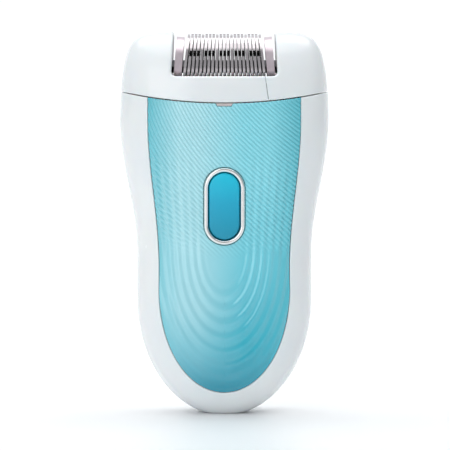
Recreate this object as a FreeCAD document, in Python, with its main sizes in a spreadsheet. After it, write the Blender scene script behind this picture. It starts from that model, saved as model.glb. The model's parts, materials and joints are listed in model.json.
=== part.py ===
# Hand-held epilator: a two-shell handle with motor, gears and switch, and a
# lift-off head that carries a row of tweezer discs.
# Millimetres. +Z up the handle, +X to the right of the front, the front faces -Y.
# The origin is the middle of the small flat foot.
import FreeCAD, Part
import math
import os
import re
import Sketcher

os.makedirs("parts", exist_ok=True)
doc = FreeCAD.newDocument("epilator")
vec = FreeCAD.Vector
X_AXIS, Y_AXIS, Z_AXIS = vec(1, 0, 0), vec(0, 1, 0), vec(0, 0, 1)
FAR = 60.0  # longer than any cut through the body

# ---------------------------------------------------------------- driving sizes
SIZES = {
    # outer form
    "body_height": 120.0,
    "half_width": 32.8,          # at the widest height
    "waist_half_width": 27.4,    # of the grip
    "widest_height": 93.0,
    "grip_height": 50.0,         # the grip swells from here to the widest height
    "tail_height": 36.0,         # the tail rounds in below this
    "foot_sink": 1.0,            # how much of the tail's tip the foot cuts off
    "grip_front": 15.2,
    "grip_back": 18.4,
    "wide_front": 17.2,
    "wide_back": 19.0,
    "shoulder_taper": 3.4,
    "wall": 2.4,
    "parting_depth": 1.0,        # where the two shells meet, behind the middle
    # head seam
    "seam_height": 97.8,
    "seam_radius": 157.0,
    "seam_gap": 0.3,
    "fit_gap": 0.3,              # between the head's inside and the shells
    # panel
    "panel_depth": 1.2,
    "panel_bottom": 7.25,
    "panel_centre": 39.0,
    "panel_half_width": 20.4,
    "panel_top_half_width": 23.8,
    "panel_top_blend": 46.0,
    "line_gap": 0.12,            # a shadow line between two pieces
    # switch
    "button_height": 65.7,
    "ring_width": 13.1,
    "ring_length": 24.4,
    "ring_rim": 1.6,
    "ring_proud": 0.75,
    "button_proud": 0.55,
    "button_gap": 0.2,
    "button_thickness": 1.7,
    "stem_radius": 1.8,
    "seal_thickness": 0.45,
    "board_front": 10.8,
    "board_thickness": 1.2,
    "board_width": 18.0,
    "board_bottom": 36.0,
    "board_top": 73.0,
    "switch_width": 6.0,
    "switch_thickness": 1.7,
    "plunger_radius": 1.2,
    "plunger_proud": 1.0,
    # window lamp
    "lens_width": 5.2,
    "lens_height": 0.8,
    "lens_depth": 2.4,
    "lamp_radius": 0.9,
    "lamp_slot": 3.0,
    # gears
    "tooth_module": 0.6,
    "wheel_module": 0.5,
    "drum_teeth": 22.0,
    "idler_teeth": 18.0,
    "small_teeth": 20.0,
    "wheel_teeth": 28.0,
    "pinion_teeth": 10.0,
    "backlash": 0.12,
    "gear_left": 19.0,
    "gear_width": 3.6,
    "wheel_left": 12.0,
    "wheel_width": 2.5,
    "pin_radius": 1.0,
    "running_gap": 0.05,
    # motor
    "motor_radius": 10.0,
    "motor_length": 28.0,
    "motor_front": 8.0,
    "motor_depth": 2.0,
    "motor_wall": 0.8,
    "motor_boss_radius": 3.0,
    "motor_boss_length": 1.2,
    "armature_radius": 7.2,
    "armature_length": 18.0,
    "shaft_radius": 1.0,
    "cap_thickness": 2.5,
    "plate_thickness": 1.6,
    "cradle_length": 20.0,
    "cradle_height": 12.8,
    "cradle_back": 13.0,
    # deck and head works
    "deck_bottom": 93.6,
    "deck_thickness": 1.8,
    "chassis_bottom": 95.8,
    "chassis_thickness": 1.5,
    "side_plate_left": 16.9,
    "side_plate_thickness": 1.6,
    "side_plate_top": 116.6,
    "drum_height": 109.0,
    "axle_flats": 4.0,
    "axle_end_radius": 1.5,
    "bush_radius": 2.4,
    # head opening
    "opening_bottom": 106.3,
    "opening_half_width": 16.7,
    "opening_top_half_width": 15.8,
    "opening_corner": 1.4,
    "cover_seam_low": 13.8,
    "cover_seam_high": 12.6,
    # discs
    "disc_radius": 10.2,
    "disc_thickness": 0.75,
    "disc_pitch": 1.22,
    "disc_tilt": 0.65,           # degrees more for each place from the middle
    "disc_bore_gap": 0.3,
    "notch_width": 1.9,
    "notch_depth": 3.0,
    "notch_count": 6.0,
    "disc_boss_radius": 8.6,
    "disc_boss_height": 0.25,
    "disc_boss_gap": 0.75,
    "cheek_radius": 9.4,
    "cheek_thickness": 2.4,
    "cheek_offset": 14.4,
    "cheek_tilt": 4.5,
    # supply inlet
    "inlet_width": 9.6,
    "inlet_depth": 5.2,
    "inlet_roof": 10.0,
    "inlet_wall": 1.6,
    "contact_spacing": 6.4,
    "contact_radius": 0.8,
    "contact_recess": 2.6,
    "contact_shoulder": 0.2,     # the thick part ends this far below the roof
    "contact_tail": 2.0,
    "contact_tail_radius": 0.5,
    "contact_roof": 2.4,
    "lead_radius": 0.55,
    # screws
    "low_screw_height": 24.0,
    "low_screw_side": 13.0,
    "high_screw_height": 59.0,
    "high_screw_side": 21.0,
    "screw_radius": 0.9,
    "screw_head_radius": 1.8,
    "screw_head_thickness": 1.5,
    "screw_seat": 6.0,
    "screw_reach": 6.0,
    "boss_radius": 2.9,
    # head release
    "release_height": 88.0,
    "release_width": 14.0,
    "release_length": 7.0,
    "release_proud": 0.6,
    "release_flange": 1.2,
    "release_seat": 15.2,
    "latch_width": 5.0,
    "latch_top": 97.0,
    "spring_width": 4.0,
    "spring_thickness": 0.35,
    "spring_foot": 6.4,          # the stretch that lies under the deck
    "spring_rise": 3.5,          # how far it springs out to the flange
}
sheet = doc.addObject("Spreadsheet::Sheet", "sizes")
for row, (word, number) in enumerate(SIZES.items(), start=1):
    sheet.set(f"A{row}", word)
    sheet.set(f"B{row}", str(number))
    sheet.setAlias(f"B{row}", word)
doc.recompute()

# Places that follow from the sizes, each one a formula.
PLACES = {
    "idler_height": "drum_height - tooth_module * (drum_teeth + idler_teeth) / 2",
    "reduction_height": "idler_height - tooth_module * (idler_teeth + small_teeth) / 2",
    "motor_reach": "wheel_module * (wheel_teeth + pinion_teeth) / 2",
    "motor_height": "reduction_height - sqrt(motor_reach ^ 2 - motor_depth ^ 2)",
    "motor_back_end": "motor_front - motor_length",
    "gear_right": "gear_left + gear_width",
    "deck_top": "deck_bottom + deck_thickness",
    "chassis_top": "chassis_bottom + chassis_thickness",
    "side_plate_right": "side_plate_left + side_plate_thickness",
    "board_back": "board_front - board_thickness",
    "switch_front": "board_front + switch_thickness",
    "ring_back": "grip_front - wall - 0.6",
    "seal_front": "switch_front + seal_thickness + 0.1",
}
places = doc.addObject("App::VarSet", "places")


def named(formula):
    """The formula with each size or place given its owner's name."""
    def owner(match):
        word = match.group()
        if word in SIZES:
            return "sizes." + word
        return "places." + word if word in PLACES else word
    return re.sub(r"[a-z][a-z_]+", owner, str(formula))


for word, formula in PLACES.items():
    places.addProperty("App::PropertyFloat", word)
    places.setExpression(word, named(formula))
doc.recompute()


def mm(word):
    """The number that a size or a place holds now."""
    return float(sheet.get(word)) if word in SIZES else float(getattr(places, word))


# ---------------------------------------------------------------- small builders
parts = []


def keep(thing, label):
    """Marks an object as a sub-part and gives it its file's name."""
    thing.Label = label
    parts.append(thing)
    return thing


def bind(thing, **formulas):
    for setting, formula in formulas.items():
        thing.setExpression(setting.replace("__", "."), named(formula))


TURNS = {"X": (Y_AXIS, 90), "Y": (X_AXIS, -90), "Z": (Z_AXIS, 0)}


def rod(radius, length, x=0, y=0, z=0, along="X"):
    """A cylinder from a point, along an axis."""
    piece = doc.addObject("Part::Cylinder", "rod")
    piece.Placement.Rotation = FreeCAD.Rotation(*TURNS[along])
    bind(piece, Radius=radius, Height=length, Placement__Base__x=x,
         Placement__Base__y=y, Placement__Base__z=z)
    return piece


def block(length, width, height, x, y, z):
    """A box from its lowest corner."""
    piece = doc.addObject("Part::Box", "block")
    bind(piece, Length=length, Width=width, Height=height, Placement__Base__x=x,
         Placement__Base__y=y, Placement__Base__z=z)
    return piece


def joined(pieces):
    union = doc.addObject("Part::MultiFuse", "joined")
    union.Shapes = pieces
    return union


def cut(base, tools):
    result = doc.addObject("Part::Cut", "cut")
    result.Base = base
    result.Tool = joined(tools) if len(tools) > 1 else tools[0]
    return result


def group(pieces):
    """Separate solids that share one node."""
    bunch = doc.addObject("Part::Compound", "group")
    bunch.Links = pieces
    return bunch


def solid(shape, name="solid"):
    """A Part::Feature for a shape that Part's own functions made."""
    feature = doc.addObject("Part::Feature", name)
    feature.Shape = shape
    feature.Placement = FreeCAD.Placement()
    return feature


def bodySketch(body, role, name):
    sketch = body.newObject("Sketcher::SketchObject", name)
    plane = next(f for f in body.Origin.OriginFeatures if f.Role == role)
    sketch.AttachmentSupport = (plane, [""])
    sketch.MapMode = "FlatFace"
    return sketch


def addCircle(sketch, radius, x=0.0, y=0.0):
    """A circle whose radius is bound to a formula."""
    index = sketch.addGeometry(Part.Circle(vec(x, y, 0), Z_AXIS, 1.0), False)
    if x == 0 and y == 0:
        sketch.addConstraint(Sketcher.Constraint("Coincident", index, 3, -1, 1))
    rule = sketch.addConstraint(Sketcher.Constraint("Radius", index, 1.0))
    sketch.setExpression(f"Constraints[{rule}]", named(radius))


def addLoop(sketch, points):
    """A closed run of straight lines."""
    for start, end in zip(points, points[1:] + points[:1]):
        sketch.addGeometry(Part.LineSegment(vec(*start, 0), vec(*end, 0)), False)


def pad(body, sketch, length, middle=False):
    feature = body.newObject("PartDesign::Pad", "pad")
    feature.Profile = sketch
    feature.SideType = "Symmetric" if middle else "One side"
    bind(feature, Length=length)
    return feature


def pocketThrough(body, sketch):
    feature = body.newObject("PartDesign::Pocket", "pocket")
    feature.Profile = sketch
    feature.Type = "ThroughAll"
    feature.SideType = "Symmetric"
    return feature


def aroundX(body, feature, count):
    """Repeats a feature round the body's own X axis."""
    pattern = body.newObject("PartDesign::PolarPattern", "pattern")
    pattern.Originals = [feature]
    axis = next(f for f in body.Origin.OriginFeatures if f.Role == "X_Axis")
    pattern.Axis = (axis, [""])
    pattern.Angle = 360
    bind(pattern, Occurrences=count)
    body.Tip = pattern
    return pattern


# ---------------------------------------------------------------- the outer form
def swell(z, low, high):
    """A soft step from low to high over the swelling stretch of the handle."""
    start, end = mm("grip_height"), mm("widest_height")
    share = min(1.0, max(0.0, (z - start) / (end - start)))
    return low + (high - low) * (1 - math.cos(math.pi * share)) / 2


def tail(z, power):
    """How far the tail has rounded in at this height: 1 above it."""
    top = mm("tail_height")
    if z >= top:
        return 1.0
    return (1 - ((top - z) / (top + mm("foot_sink"))) ** power) ** (1 / power)


def crown(z):
    return (z - mm("widest_height")) / (mm("body_height") + 0.1 - mm("widest_height"))


def halfWidth(z):
    if z <= mm("widest_height"):
        return swell(z, mm("waist_half_width"), mm("half_width")) * tail(z, 2.0)
    rise = crown(z)
    return (mm("half_width") - mm("shoulder_taper") * rise ** 2) * (1 - rise ** 8) ** 0.125


def depth(z, side):
    """The form's reach to the front or the back."""
    if z <= mm("widest_height"):
        return swell(z, mm("grip_" + side), mm("wide_" + side)) * tail(z, 2.6)
    return mm("wide_" + side) * (1 - crown(z) ** 2) ** (1 / 2.2)


OUTLINE_POINTS = 16


def section(z, inset):
    """One level outline: a superellipse, a little squarer at the front."""
    width = halfWidth(z) - inset
    points = []
    for step in range(OUTLINE_POINTS):
        turn = 2 * math.pi * step / OUTLINE_POINTS
        c, s = math.cos(turn), math.sin(turn)
        power = 2.5 if s < 0 else 2.2
        reach = depth(z, "front" if s < 0 else "back") - inset
        points.append(vec(width * math.copysign(abs(c) ** (2 / power), c),
                          reach * math.copysign(abs(s) ** (2 / power), s), z))
    curve = Part.BSplineCurve()
    curve.interpolate(points, PeriodicFlag=True)
    return Part.Wire([curve.toShape()])


def form(inset=0.0):
    """The whole outside, or the same form set in by a wall."""
    bottom, top = max(0.0, inset), mm("body_height") - max(0.0, inset)
    waist, widest = mm("tail_height"), mm("widest_height")
    heights = [bottom + (waist - bottom) * (step / 6) ** 2 for step in range(7)]
    heights += [waist + (widest - waist) * step / 4 for step in range(1, 5)]
    heights += [top - (top - widest) * (1 - step / 6) ** 2 for step in range(1, 7)]
    return Part.makeLoft([section(z, inset) for z in heights], True, False)


def slab(low, high):
    """All the space between two heights."""
    return Part.makeBox(4 * FAR, 4 * FAR, high - low, vec(-2 * FAR, -2 * FAR, low))


def wirePrism(wire, start, length):
    """An outline drawn in X and Z, carried back from a depth."""
    face = Part.Face(wire)
    face.translate(vec(0, start, 0))
    return face.extrude(vec(0, length, 0))


def stadium(width, length, height, start, run):
    """An upright oblong with round ends, as a prism along Y."""
    radius, straight = width / 2, (length - width) / 2
    low, high = height - straight, height + straight
    edges = [
        Part.LineSegment(vec(radius, 0, low), vec(radius, 0, high)),
        Part.Arc(vec(radius, 0, high), vec(0, 0, high + radius), vec(-radius, 0, high)),
        Part.LineSegment(vec(-radius, 0, high), vec(-radius, 0, low)),
        Part.Arc(vec(-radius, 0, low), vec(0, 0, low - radius), vec(radius, 0, low)),
    ]
    return wirePrism(Part.Wire([edge.toShape() for edge in edges]), start, run)


def polygon(points):
    corners = [vec(x, 0, z) for x, z in points]
    return Part.makePolygon(corners + corners[:1])


def seamCylinder(lift):
    """A big cylinder along Y whose lowest line is the head seam at the middle."""
    radius = mm("seam_radius")
    centre = vec(0, -FAR, mm("seam_height") + lift + radius)
    return Part.makeCylinder(radius, 2 * FAR, centre, Y_AXIS)


outer, inner = form(), form(mm("wall"))
panelBack = form(mm("panel_depth"))
headSpace = seamCylinder(mm("seam_gap") / 2)
handleSpace = slab(-1, mm("body_height") + 1).cut(seamCylinder(-mm("seam_gap") / 2))
frontSpace = Part.makeBox(4 * FAR, 2 * FAR, 4 * FAR, vec(-2 * FAR, mm("parting_depth") - 2 * FAR, -FAR))

# ---------------------------------------------------------------- panel and switch
def panelEdge(z, gap):
    """The panel's half width: an oval tail and a soft swell to the shoulders."""
    base, centre = mm("panel_bottom"), mm("panel_centre")
    low, high = mm("panel_half_width"), mm("panel_top_half_width")
    if z <= centre:
        share = (centre - z) / (centre - base + gap)
        return (low + gap) * math.sqrt(max(0.0, 1 - share ** 2))
    start, end = mm("panel_top_blend"), mm("widest_height")
    share = min(1.0, max(0.0, (z - start) / (end - start)))
    return gap + low + (high - low) * (1 - math.cos(math.pi * share)) / 2


def panelPrism(gap):
    base, centre, top = mm("panel_bottom") - gap, mm("panel_centre"), mm("body_height")
    turns = [math.pi / 2 * step / 8 for step in range(1, 9)]
    heights = [centre - (centre - base) * math.cos(turn) for turn in turns]
    heights += [centre + (top - centre) * step / 9 for step in range(1, 10)]
    right = [vec(panelEdge(z, gap), 0, z) for z in heights]
    left = [vec(-point.x, 0, point.z) for point in reversed(right)]
    curve = Part.BSplineCurve()
    curve.interpolate(left + [vec(0, 0, base)] + right)
    top = Part.LineSegment(right[-1], left[0])
    return wirePrism(Part.Wire([curve.toShape(), top.toShape()]), -FAR, FAR)


def lensPrism(gap):
    """The small window: a trapezoid, wider at the top, that ends at the head seam."""
    half, drop = mm("lens_width") / 2 + gap, mm("lens_height") + gap
    low, high = mm("seam_height") - mm("seam_gap") / 2 - drop, mm("body_height")
    slant = mm("lens_height") * 0.6
    outline = [(-half + slant, low), (half - slant, low), (half, low + drop), (half, high),
               (-half, high), (-half, low + drop)]
    start = -mm("wide_front") - 2
    return wirePrism(polygon(outline), start, 2 + mm("lens_depth"))


ringHole = stadium(mm("ring_width"), mm("ring_length"), mm("button_height"), -FAR, FAR)
rimInside = 2 * mm("ring_rim")
buttonHole = stadium(mm("ring_width") - rimInside, mm("ring_length") - rimInside,
                     mm("button_height"), -FAR, FAR)
gapInside = rimInside + 2 * mm("button_gap")
buttonPrism = stadium(mm("ring_width") - gapInside, mm("ring_length") - gapInside,
                      mm("button_height"), -FAR, FAR)

panelShape = panelPrism(0).cut(panelBack).common(outer).common(handleSpace)
panelShape = panelShape.cut(ringHole).cut(lensPrism(mm("line_gap")))
keep(solid(panelShape), "front_panel")

ringShape = ringHole.cut(buttonHole).common(form(-mm("ring_proud")))
ringShape = ringShape.cut(Part.makeBox(FAR, FAR, FAR, vec(-FAR / 2, -mm("ring_back"), mm("tail_height"))))
keep(solid(ringShape), "switch_ring")

buttonBack = mm("grip_front") + mm("button_proud") - mm("button_thickness")
capShape = buttonPrism.common(form(-mm("button_proud")))
capShape = capShape.cut(Part.makeBox(FAR, FAR, FAR, vec(-FAR / 2, -buttonBack, mm("tail_height"))))
stem = rod("stem_radius", "grip_front - 0.3 - switch_front - plunger_proud",
           y="0 - (grip_front - 0.3)", z="button_height", along="Y")
keep(joined([solid(capShape), stem]), "power_button")

sealShape = stadium(mm("ring_width") - gapInside, mm("ring_length") - gapInside,
                    mm("button_height"), -mm("seal_front"), mm("seal_thickness"))
keep(cut(solid(sealShape), [rod("stem_radius + 0.15", 40, y="0 - 30", z="button_height", along="Y")]),
     "button_seal")

# ---------------------------------------------------------------- shells
SCREWS = [(side * mm(f"{row}_screw_side"), mm(f"{row}_screw_height"))
          for row in ("low", "high") for side in (-1, 1)]


def cylinderY(radius, start, end, x, z):
    return Part.makeCylinder(radius, end - start, vec(x, start, z), Y_AXIS)


inletHole = Part.makeBox(mm("inlet_width"), mm("inlet_depth"), 3 * mm("wall"),
                         vec(-mm("inlet_width") / 2, -mm("inlet_depth") / 2, -mm("wall")))
releasePrism = Part.makeBox(mm("release_width"), FAR, mm("release_length"),
                            vec(-mm("release_width") / 2, 0,
                                mm("release_height") - mm("release_length") / 2))
releasePrism = releasePrism.makeFillet(2.0, [e for e in releasePrism.Edges
                                             if abs(e.tangentAt(e.FirstParameter).y) > 0.9])
releaseHole = releasePrism.copy()
releaseHole.scale(1.0 + 2 * mm("button_gap") / mm("release_length"),
                  vec(0, 0, mm("release_height")))

handleShell = outer.cut(inner).common(handleSpace).cut(inletHole)
screwCore = [cylinderY(mm("screw_radius"), -mm("screw_reach"), mm("screw_seat"), x, z) for x, z in SCREWS]
screwSink = [cylinderY(mm("screw_head_radius") + 0.15, mm("screw_seat"), FAR, x, z) for x, z in SCREWS]
frontBosses = [cylinderY(mm("boss_radius"), -FAR, mm("parting_depth"), x, z).common(outer) for x, z in SCREWS]
rearBosses = [cylinderY(mm("boss_radius"), mm("parting_depth"), FAR, x, z).common(outer) for x, z in SCREWS]

panelRecess = panelPrism(mm("line_gap")).cut(panelBack)
frontShape = handleShell.common(frontSpace).cut(panelRecess)
frontShape = frontShape.fuse([boss.cut(panelRecess) for boss in frontBosses])
frontShape = frontShape.cut(ringHole).cut(screwCore).cut(lensPrism(0))
rearShape = handleShell.cut(frontSpace).fuse(rearBosses)
rearShape = rearShape.cut(screwCore + screwSink).cut(releaseHole)
keep(solid(frontShape.removeSplitter()), "front_shell")
keep(solid(rearShape.removeSplitter()), "rear_shell")

screws = []
for x, z in SCREWS:
    shank = rod("screw_radius", "screw_reach + screw_seat", x, "0 - screw_reach", z, "Y")
    top = rod("screw_head_radius", "screw_head_thickness", x, "screw_seat", z, "Y")
    slot = block(2.6, 0.8, 0.6, x - 1.3, "screw_seat + screw_head_thickness - 0.5", z - 0.3)
    screws.append(cut(joined([shank, top]), [slot]))
keep(group(screws), "housing_screws")

lensShape = lensPrism(0).common(outer).common(handleSpace)
keep(solid(lensShape), "light_lens")
keep(rod("lamp_radius", 2.2, 0, "0 - (wide_front - wall - 0.4)", "deck_top + lamp_radius", "Y"),
     "light_led")

# ---------------------------------------------------------------- switch board
board = block("board_width", "board_thickness", "board_top - board_bottom",
              "0 - board_width / 2", "0 - board_front", "board_bottom")
keep(board, "circuit_board")
keep(cut(block("switch_width", "switch_thickness", "switch_width", "0 - switch_width / 2",
               "0 - switch_front", "button_height - switch_width / 2"),
         [rod("plunger_radius + 0.1", "switch_thickness - 0.3", 0, "0 - switch_front",
              "button_height", "Y")]), "switch_body")
keep(rod("plunger_radius", "plunger_proud + 0.2", 0, "0 - switch_front - plunger_proud",
         "button_height", "Y"), "switch_plunger")
keep(group([
    rod(2.5, 1.6, -4.5, "0 - board_front - 1.6", "board_bottom + 6", "Y"),
    block(3.2, 1.1, 5.0, 2.5, "0 - board_front - 1.1", "board_bottom + 4"),
    block(5.0, 1.3, 4.0, -2.5, "0 - board_front - 1.3", "board_bottom + 12"),
    block(1.6, 0.7, 3.0, -6.5, "0 - board_front - 0.7", "board_bottom + 15"),
    block(1.6, 0.7, 3.0, 5.0, "0 - board_front - 0.7", "board_bottom + 15"),
]), "board_components")

# ---------------------------------------------------------------- motor
motorAxis = {"y": "motor_depth", "z": "motor_height"}
canShape = joined([rod("motor_radius", "motor_length", "motor_back_end", **motorAxis),
                   rod("motor_boss_radius", "motor_boss_length", "motor_front", **motorAxis)])
keep(cut(canShape, [
    rod("motor_radius - motor_wall", "motor_length - motor_wall", "motor_back_end", **motorAxis),
    rod("shaft_radius + running_gap", 40, "0 - 20", **motorAxis),
]), "motor_can")
capBody = rod("motor_radius - motor_wall", "cap_thickness", "motor_back_end", **motorAxis)
terminals = [block(3.0, 0.5, 2.0, "motor_back_end - 2", f"motor_depth {way} 6 - 0.25",
                   "motor_height - 1") for way in "+-"]
keep(cut(joined([capBody] + terminals),
         [rod("shaft_radius + running_gap", "cap_thickness - 0.8", "motor_back_end + 0.8",
              **motorAxis)]), "motor_end_cap")
keep(rod("shaft_radius", "wheel_left + wheel_width + 0.6 - motor_back_end - 1",
         "motor_back_end + 1", **motorAxis), "motor_shaft")
keep(cut(rod("armature_radius", "armature_length", "motor_back_end + 5", **motorAxis),
         [rod("shaft_radius", 60, "0 - 30", **motorAxis)]), "armature")
keep(cut(block("cradle_length", "cradle_back - motor_depth - 1", "cradle_height",
               "motor_front - 2 - cradle_length", "motor_depth + 1",
               "motor_height - cradle_height / 2"),
         [rod("motor_radius", 80, "0 - 40", **motorAxis)]), "motor_cradle")


# ---------------------------------------------------------------- gears
PRESSURE_ANGLE = math.radians(22)


def gearGap(teeth, module):
    """One tooth gap, its middle on the sketch's Y axis: two involute flanks."""
    pitch = module * teeth / 2
    base = pitch * math.cos(PRESSURE_ANGLE)
    root, tip = pitch - 1.2 * module, pitch + 0.95 * module
    toothAngle = (math.pi * module / 2 - mm("backlash")) / (2 * pitch)

    def inv(angle):
        return math.tan(angle) - angle

    def flank(radius):
        angle = math.acos(min(1.0, base / max(radius, base)))
        turn = math.pi / teeth - (toothAngle + inv(PRESSURE_ANGLE) - inv(angle))
        return vec(radius * math.sin(turn), radius * math.cos(turn), 0)

    def mirror(point):
        return vec(-point.x, point.y, 0)

    start = max(root, base)
    rightFlank = [flank(start), flank((start + tip) / 2), flank(tip)]
    lowRight, outRight = flank(start) * (root / start), flank(tip) * 1.06
    edges = [Part.Arc(*rightFlank), Part.Arc(*[mirror(point) for point in rightFlank])]
    if start > root:
        edges += [Part.LineSegment(lowRight, rightFlank[0]),
                  Part.LineSegment(mirror(lowRight), mirror(rightFlank[0]))]
    edges += [Part.LineSegment(lowRight, mirror(lowRight)),
              Part.LineSegment(rightFlank[2], outRight),
              Part.LineSegment(mirror(rightFlank[2]), mirror(outRight)),
              Part.LineSegment(outRight, mirror(outRight))]
    return edges


def toothedWheel(name, teeth, module, width, x, y, z, turn, bore):
    """A spur gear on an axis along X; at turn 0 a gap points straight up."""
    body = doc.addObject("PartDesign::Body", name)
    blank = bodySketch(body, "YZ_Plane", name + "_blank")
    addCircle(blank, f"{module} * {teeth} / 2 + 0.95 * {module}")
    addCircle(blank, bore)
    pad(body, blank, width)
    gap = bodySketch(body, "YZ_Plane", name + "_gap")
    gap.addGeometry(gearGap(mm(teeth), mm(module)), False)
    aroundX(body, pocketThrough(body, gap), teeth)
    body.Placement.Rotation = FreeCAD.Rotation(X_AXIS, turn)
    bind(body, Placement__Base__x=x, Placement__Base__y=y, Placement__Base__z=z)
    return body


def halfTooth(teeth):
    return 180 / mm(teeth)


# The wheel's gap faces the pinion; the angle is counted from straight up.
pinionSide = math.degrees(math.atan2(-mm("motor_depth"), mm("motor_height") - mm("reduction_height")))
keep(toothedWheel("motor_pinion", "pinion_teeth", "wheel_module", "wheel_width + 0.4",
                  "wheel_left - 0.2", "motor_depth", "motor_height",
                  pinionSide + 180 + halfTooth("pinion_teeth"), "shaft_radius"), "motor_pinion")
wheel = toothedWheel("wheel", "wheel_teeth", "wheel_module", "wheel_width", "wheel_left", 0,
                     "reduction_height", pinionSide, "pin_radius + running_gap")
small = toothedWheel("small", "small_teeth", "tooth_module", "gear_width", "gear_left", 0,
                     "reduction_height", 0, "pin_radius + running_gap")
hub = cut(rod("pin_radius + 1.6", "gear_left - wheel_left", "wheel_left", 0, "reduction_height"),
          [rod("pin_radius + running_gap", 80, "0 - 40", 0, "reduction_height")])
keep(joined([wheel, hub, small]), "reduction_gear")
keep(toothedWheel("head_idler", "idler_teeth", "tooth_module", "gear_width", "gear_left", 0,
                  "idler_height", halfTooth("idler_teeth"), "pin_radius + running_gap"),
     "head_idler_gear")
keep(toothedWheel("drum_wheel", "drum_teeth", "tooth_module", "gear_width", "gear_left", 0,
                  "drum_height", 180, "axle_end_radius"), "drum_gear")
keep(rod("pin_radius", "gear_right + 0.6 - motor_front", "motor_front", 0, "reduction_height"),
     "gear_pin")
keep(rod("pin_radius", "gear_right + 0.6 - side_plate_left", "side_plate_left", 0,
         "idler_height"), "idler_pin")

keep(cut(block("plate_thickness", 18, "deck_bottom - motor_height + 8", "motor_front", "0 - 8",
               "motor_height - 8"),
         [rod("motor_boss_radius", 40, "0 - 20", **motorAxis),
          rod("pin_radius", 60, "0 - 30", 0, "reduction_height")]), "gear_plate")

# ---------------------------------------------------------------- deck and head
idlerSlot = Part.makeBox(mm("gear_width") + 1.4, 14.0, 3 * mm("wall"),
                         vec(mm("gear_left") - 0.7, -7.0, mm("deck_bottom") - mm("wall")))
latchSlot = Part.makeBox(mm("latch_width") + 1.2, FAR, FAR,
                         vec(-mm("latch_width") / 2 - 0.6, mm("release_seat") - 4.2, 92))
deckShape = slab(mm("deck_bottom"), mm("deck_top")).common(form(mm("wall") + 0.1))
keep(solid(deckShape.cut(idlerSlot).cut(latchSlot)), "top_deck")

headInside = form(mm("wall") + mm("fit_gap"))
base = slab(mm("chassis_bottom"), mm("chassis_top")).common(headInside)
lampSlot = Part.makeBox(mm("lamp_slot"), FAR, FAR, vec(-mm("lamp_slot") / 2, -FAR - 11, 92))
base = base.cut([idlerSlot.translated(vec(0, 0, 1.5)), latchSlot, lampSlot])
chassis = [base]
for side in (-1, 1):
    middle = side * (mm("side_plate_left") + mm("side_plate_thickness") / 2)
    plate = Part.makeBox(mm("side_plate_thickness"), 2 * FAR,
                         mm("side_plate_top") - mm("chassis_bottom"),
                         vec(middle - mm("side_plate_thickness") / 2, -FAR, mm("chassis_bottom")))
    chassis.append(plate.common(headInside).cut(latchSlot))
chassisShape = base.fuse(chassis[1:])
axleHoles = Part.makeCylinder(mm("bush_radius"), 2 * FAR, vec(-FAR, 0, mm("drum_height")), X_AXIS)
pinHole = Part.makeCylinder(mm("pin_radius"), FAR, vec(0, 0, mm("idler_height")), X_AXIS)
keep(solid(chassisShape.cut([axleHoles, pinHole])), "head_chassis")

wide, narrow = mm("opening_half_width"), mm("opening_top_half_width")
low, high = mm("opening_bottom"), mm("body_height") + 1
opening = wirePrism(polygon([(-wide, low), (wide, low), (narrow, high), (-narrow, high)]), -FAR, 2 * FAR)
lowEdges = [e for e in opening.Edges
            if abs(e.tangentAt(e.FirstParameter).y) > 0.9 and e.Vertexes[0].Z < low + 1]
opening = opening.makeFillet(mm("opening_corner"), lowEdges)
headShell = outer.cut(inner).common(headSpace).cut(opening)

seamLow, seamHigh = mm("cover_seam_low"), mm("cover_seam_high")
slope = (seamHigh - seamLow) / (mm("opening_bottom") - mm("seam_height"))


def coverSpace(gap):
    """All the space right of the cover's slanted seam."""
    bottom, top = mm("seam_height") - 10, mm("body_height") + 10
    left = [(seamLow + gap + slope * (z - mm("seam_height")), z) for z in (bottom, top)]
    return wirePrism(polygon([left[0], (FAR, bottom), (FAR, top), left[1]]), -FAR, 2 * FAR)


keep(solid(headShell.cut(coverSpace(0))), "head_frame")
keep(solid(headShell.common(coverSpace(mm("line_gap")))), "gear_cover")

# ---------------------------------------------------------------- drum
def hexagon(sketch, flats, extra=0.0):
    """A hexagon on its flats, drawn round the sketch's centre."""
    radius = (flats + extra) / math.sqrt(3)
    addLoop(sketch, [(radius * math.cos(math.pi * side / 3), radius * math.sin(math.pi * side / 3))
                     for side in range(6)])


axle = doc.addObject("PartDesign::Body", "axle")
ends = bodySketch(axle, "YZ_Plane", "axle_ends")
addCircle(ends, "axle_end_radius")
pad(axle, ends, "2 * gear_right + 1", middle=True)
middle = bodySketch(axle, "YZ_Plane", "axle_middle")
hexagon(middle, mm("axle_flats"))
pad(axle, middle, "2 * (side_plate_left - 0.3)", middle=True)
bind(axle, Placement__Base__z="drum_height")
trimmed = cut(axle, [rod(6, 20, "0 - side_plate_right - 0.6 - 20", 0, "drum_height")])
keep(trimmed, "drum_axle")

bushes = []
for side in ("0 - side_plate_right", "side_plate_left"):
    sleeve = rod("bush_radius", "side_plate_thickness", side, 0, "drum_height")
    bushes.append(cut(sleeve, [rod("axle_end_radius + running_gap", 80, "0 - 40", 0, "drum_height")]))
keep(group(bushes), "bearing_bushes")


def tiltedBody(name, place, tilt):
    """An empty body on the drum's axis, leaning inwards at its top."""
    body = doc.addObject("PartDesign::Body", name)
    body.Placement.Rotation = FreeCAD.Rotation(Y_AXIS, -tilt)
    body.Placement.Base = vec(place, 0, mm("drum_height"))
    bind(body, Placement__Base__z="drum_height")
    return body


def cheek(side):
    """A thick end plate that presses the disc row together at its top."""
    body = tiltedBody("cheek", side * mm("cheek_offset"), side * mm("cheek_tilt"))
    outline = bodySketch(body, "YZ_Plane", "cheek_outline")
    addCircle(outline, "cheek_radius")
    addCircle(outline, "axle_flats / 2 + 1")
    pad(body, outline, "cheek_thickness", middle=True)
    return body


keep(cheek(-1), "end_cheek_left")
keep(cheek(1), "end_cheek_right")


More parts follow.
